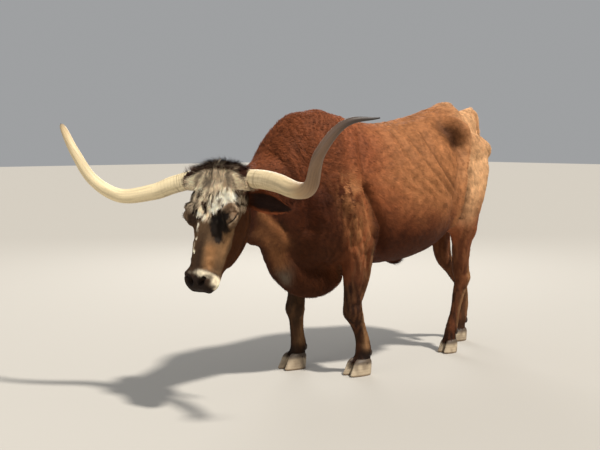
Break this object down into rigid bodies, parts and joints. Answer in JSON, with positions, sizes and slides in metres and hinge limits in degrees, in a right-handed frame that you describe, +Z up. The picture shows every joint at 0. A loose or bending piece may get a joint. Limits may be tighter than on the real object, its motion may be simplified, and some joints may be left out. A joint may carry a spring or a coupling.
{
  "type": "texas longhorn steer, still life-size model",
  "caption": "Chestnut longhorn steer standing with its head lowered and turned to its left, long upswept horns, roan white face and dark lower legs.",
  "frame": {"origin": "middle of the bounding box in X and Y, on the floor under the hooves", "axes": "-Y the way the trunk faces, +X the animal's left, +Z up"},
  "size_m": [1.689, 2.6012, 1.4743],
  "materials": {
    "hide": "short haired, chestnut",
    "dark_hide": "haired, dark brown",
    "horn_sheath": "satin ivory, darker at the tips",
    "hoof_horn": "dull cream grey",
    "eye": "wet gloss, very dark brown"
  },
  "bodies": {
    "root": {"barrel": "hide", "chest": "hide", "ear_left": "hide", "ear_right": "hide", "eye_left": "eye", "eye_right": "eye", "fore_cannon_left": "dark_hide", "fore_cannon_right": "dark_hide", "fore_left_claw_inner": "hoof_horn", "fore_left_claw_outer": "hoof_horn", "fore_left_dewclaw_inner": "hoof_horn", "fore_left_dewclaw_outer": "hoof_horn", "fore_pastern_left": "dark_hide", "fore_pastern_right": "dark_hide", "fore_right_claw_inner": "hoof_horn", "fore_right_claw_outer": "hoof_horn", "fore_right_dewclaw_inner": "hoof_horn", "fore_right_dewclaw_outer": "hoof_horn", "forearm_left": "hide", "forearm_right": "hide", "gaskin_left": "hide", "gaskin_right": "hide", "head": "hide", "hind_cannon_left": "dark_hide", "hind_cannon_right": "dark_hide", "hind_left_claw_inner": "hoof_horn", "hind_left_claw_outer": "hoof_horn", "hind_left_dewclaw_inner": "hoof_horn", "hind_left_dewclaw_outer": "hoof_horn", "hind_pastern_left": "dark_hide", "hind_pastern_right": "dark_hide", "hind_right_claw_inner": "hoof_horn", "hind_right_claw_outer": "hoof_horn", "hind_right_dewclaw_inner": "hoof_horn", "hind_right_dewclaw_outer": "hoof_horn", "horn_left": "horn_sheath", "horn_right": "horn_sheath", "jaw": "hide", "muzzle": "dark_hide", "neck": "hide", "poll_tuft": "dark_hide", "rump": "hide", "shoulder_left": "hide", "shoulder_right": "hide", "tail": "hide", "tail_switch": "dark_hide", "thigh_left": "hide", "thigh_right": "hide"}
  },
  "joints": []
}
